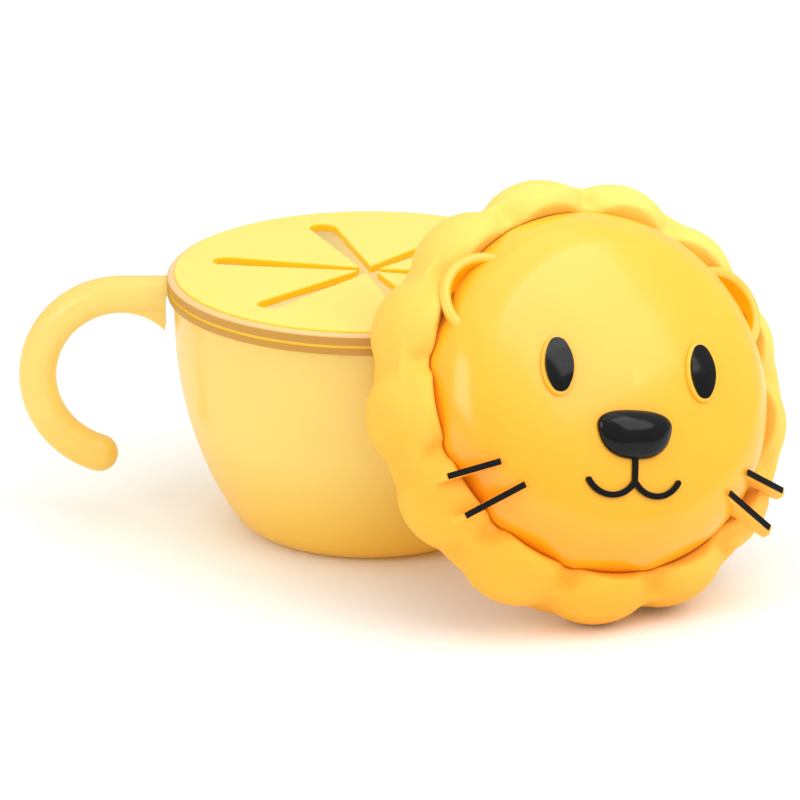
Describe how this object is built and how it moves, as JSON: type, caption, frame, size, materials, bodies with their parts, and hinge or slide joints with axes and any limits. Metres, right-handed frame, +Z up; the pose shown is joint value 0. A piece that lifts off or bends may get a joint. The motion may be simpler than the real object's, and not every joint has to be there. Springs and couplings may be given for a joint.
{
  "type": "toddler snack container",
  "caption": "Round toddler snack bowl with a hook handle, a soft slit trap in a collar, and a domed lion-face lid leaning on the rim.",
  "frame": {"origin": "centre of the bowl's flat base, on the floor", "axes": "+Z up along the bowl's axis; -X towards the handle; the lid leans on the rim on the -Y side"},
  "size_m": [0.1894, 0.1447, 0.0993],
  "materials": {
    "clear_yellow": "translucent injection-moulded polypropylene, tinted yellow, softly glossy",
    "collar_brown": "stiff moulded plastic, peach brown, satin gloss",
    "soft_lemon": "soft thermoplastic elastomer, lemon yellow, satin",
    "mane_yellow": "soft-touch matte plastic, pale warm yellow",
    "face_yellow": "glossy moulded plastic, warm yellow",
    "ear_orange": "glossy moulded plastic, deep orange",
    "gloss_black": "glossy black plastic and printed black line"
  },
  "bodies": {
    "bowl": {"bowl": "clear_yellow", "handle": "clear_yellow", "trap_collar": "collar_brown", "trap_ring": "soft_lemon"},
    "flap_1": {"flap_1": "soft_lemon"},
    "flap_2": {"flap_2": "soft_lemon"},
    "flap_3": {"flap_3": "soft_lemon"},
    "flap_4": {"flap_4": "soft_lemon"},
    "flap_5": {"flap_5": "soft_lemon"},
    "flap_6": {"flap_6": "soft_lemon"},
    "lid": {"lid_mane": "mane_yellow", "lid_face": "face_yellow", "ear_left": "ear_orange", "ear_right": "ear_orange", "eye_left": "gloss_black", "eye_right": "gloss_black", "nose": "gloss_black", "mouth": "gloss_black", "whisker_left_upper": "mane_yellow", "whisker_left_lower": "mane_yellow", "whisker_right_upper": "mane_yellow", "whisker_right_lower": "mane_yellow", "whisker_ink_left_upper": "gloss_black", "whisker_ink_left_lower": "gloss_black", "whisker_ink_right_upper": "gloss_black", "whisker_ink_right_lower": "gloss_black"}
  },
  "joints": [
    {"name": "flap_1_bend", "type": "hinge", "parent": "bowl", "child": "flap_1", "pos_m": [0.00651, 0.03349, 0.0651], "axis": [-0.9816, 0.1908, 0], "range_deg": [-60, 35], "stiffness_Nm_per_rad": 0.02},
    {"name": "flap_2_bend", "type": "hinge", "parent": "bowl", "child": "flap_2", "pos_m": [-0.02575, 0.02239, 0.0651], "axis": [-0.6561, -0.7547, 0], "range_deg": [-60, 35], "stiffness_Nm_per_rad": 0.02},
    {"name": "flap_3_bend", "type": "hinge", "parent": "bowl", "child": "flap_3", "pos_m": [-0.03226, -0.01111, 0.0651], "axis": [0.3256, -0.9455, 0], "range_deg": [-60, 35], "stiffness_Nm_per_rad": 0.02},
    {"name": "flap_4_bend", "type": "hinge", "parent": "bowl", "child": "flap_4", "pos_m": [-0.00651, -0.03349, 0.0651], "axis": [0.9816, -0.1908, 0], "range_deg": [-60, 35], "stiffness_Nm_per_rad": 0.02},
    {"name": "flap_5_bend", "type": "hinge", "parent": "bowl", "child": "flap_5", "pos_m": [0.02575, -0.02239, 0.0651], "axis": [0.6561, 0.7547, 0], "range_deg": [-60, 35], "stiffness_Nm_per_rad": 0.02},
    {"name": "flap_6_bend", "type": "hinge", "parent": "bowl", "child": "flap_6", "pos_m": [0.03226, 0.01111, 0.0651], "axis": [-0.3256, 0.9455, 0], "range_deg": [-60, 35], "stiffness_Nm_per_rad": 0.02},
    {"name": "lid_lift", "type": "slide", "parent": "bowl", "child": "lid", "axis": [0.4207, -0.759, 0.497], "range_m": [0, 0.09]}
  ]
}
